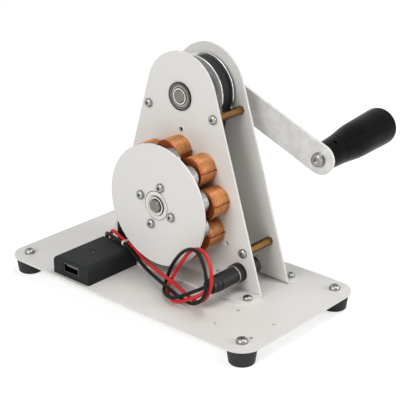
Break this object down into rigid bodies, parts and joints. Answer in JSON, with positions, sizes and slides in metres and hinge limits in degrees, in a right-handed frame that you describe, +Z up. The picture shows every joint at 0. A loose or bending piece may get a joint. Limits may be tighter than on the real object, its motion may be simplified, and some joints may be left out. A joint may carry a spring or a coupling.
{
  "type": "hand crank generator",
  "caption": "Desk-top hand crank generator: a crank and toothed belt spin a magnet disc past copper coils, feeding a small USB power module on a footed base plate.",
  "frame": {"origin": "on the surface the rubber feet stand on, below the centre of the machine's bounding box", "axes": "+Z up, +Y along both shafts towards the crank arm and handle, +X along the long side of the base towards the power socket"},
  "size_m": [0.2, 0.1746, 0.1523],
  "materials": {
    "white_paint": "satin white powder coat",
    "foot_rubber": "moulded black rubber",
    "screw_steel": "stainless steel, lightly polished",
    "set_screw_black": "black oxide",
    "bearing_steel": "ground bearing steel",
    "shaft_steel": "ground and polished shaft",
    "standoff_brass": "turned brass",
    "belt_rubber": "black neoprene",
    "pulley_aluminium": "machined, matte",
    "rim_aluminium": "bright turned edge",
    "arm_metal": "satin, silver",
    "hub_aluminium": "machined, satin",
    "magnet_nickel": "nickel plating",
    "coil_copper": "enamelled copper wire",
    "black_plastic": "moulded black",
    "module_plastic": "fine textured dark case",
    "handle_plastic": "polished black",
    "contact_metal": "nickel plating",
    "board_laminate": "green solder mask",
    "inductor_ferrite": "dark ferrite",
    "tongue_plastic": "white insulator",
    "led_lens": "dark translucent lens, unlit",
    "red_insulation": "soft red insulation",
    "black_insulation": "soft black insulation",
    "tie_plastic": "white twist tie"
  },
  "bodies": {
    "frame": {"base_plate": "white_paint", "rubber_feet": "foot_rubber", "foot_screws": "screw_steel", "foot_nuts": "screw_steel", "front_upright": "white_paint", "rear_upright": "white_paint", "flange_screws": "screw_steel", "flange_nuts": "screw_steel", "hex_standoffs": "standoff_brass", "standoff_screws": "screw_steel", "bearing_outer_races": "bearing_steel", "timing_belt": "belt_rubber", "coil_posts": "hub_aluminium", "coil_screws": "screw_steel", "coil_cores": "coil_copper", "coil_windings": "coil_copper", "rectifier": "black_plastic", "rectifier_screw": "screw_steel", "rectifier_nut": "screw_steel", "dc_jack": "black_plastic", "jack_pin": "contact_metal", "jack_tags": "contact_metal", "jack_collar": "black_plastic", "jack_ring": "contact_metal", "plug_barrel": "contact_metal", "dc_plug": "black_plastic", "red_wire": "red_insulation", "black_wire": "black_insulation", "wire_tie": "tie_plastic", "usb_case_lid": "module_plastic", "usb_case_floor": "module_plastic", "module_board": "board_laminate", "module_inductor": "inductor_ferrite", "usb_shell": "contact_metal", "usb_tongue": "tongue_plastic", "power_led": "led_lens"},
    "crank": {"crank_shaft": "shaft_steel", "crank_inner_races": "bearing_steel", "drive_pulley": "pulley_aluminium", "drive_pulley_front_rim": "rim_aluminium", "drive_pulley_rear_rim": "rim_aluminium", "drive_set_screw": "set_screw_black", "crank_arm": "arm_metal", "arm_hub": "arm_metal", "arm_clamp_washer": "screw_steel", "arm_clamp_screw": "screw_steel", "handle_washer": "screw_steel", "handle_bolt": "screw_steel", "handle_collar": "handle_plastic"},
    "handle": {"handle_grip": "handle_plastic"},
    "rotor": {"rotor_shaft": "shaft_steel", "rotor_inner_races": "bearing_steel", "rotor_disc": "white_paint", "rotor_hub": "hub_aluminium", "rotor_set_screws": "set_screw_black", "hub_screws": "screw_steel", "rotor_magnets": "magnet_nickel", "rotor_spacer": "hub_aluminium", "driven_pulley": "pulley_aluminium"}
  },
  "joints": [
    {"name": "crank_spin", "type": "hinge", "parent": "frame", "child": "crank", "pos_m": [0, 0, 0.1243], "axis": [0, 1, 0], "continuous": true},
    {"name": "rotor_spin", "type": "hinge", "parent": "frame", "child": "rotor", "pos_m": [0, 0, 0.0611], "axis": [0, 1, 0], "continuous": true},
    {"name": "handle_spin", "type": "hinge", "parent": "crank", "child": "handle", "pos_m": [0.07259, 0.01306, 0.09061], "axis": [-0.0648, 0.9974, 0.0301], "continuous": true}
  ],
  "couplings": [
    {"joint": "rotor_spin", "follows": "crank_spin", "ratio": 3}
  ]
}
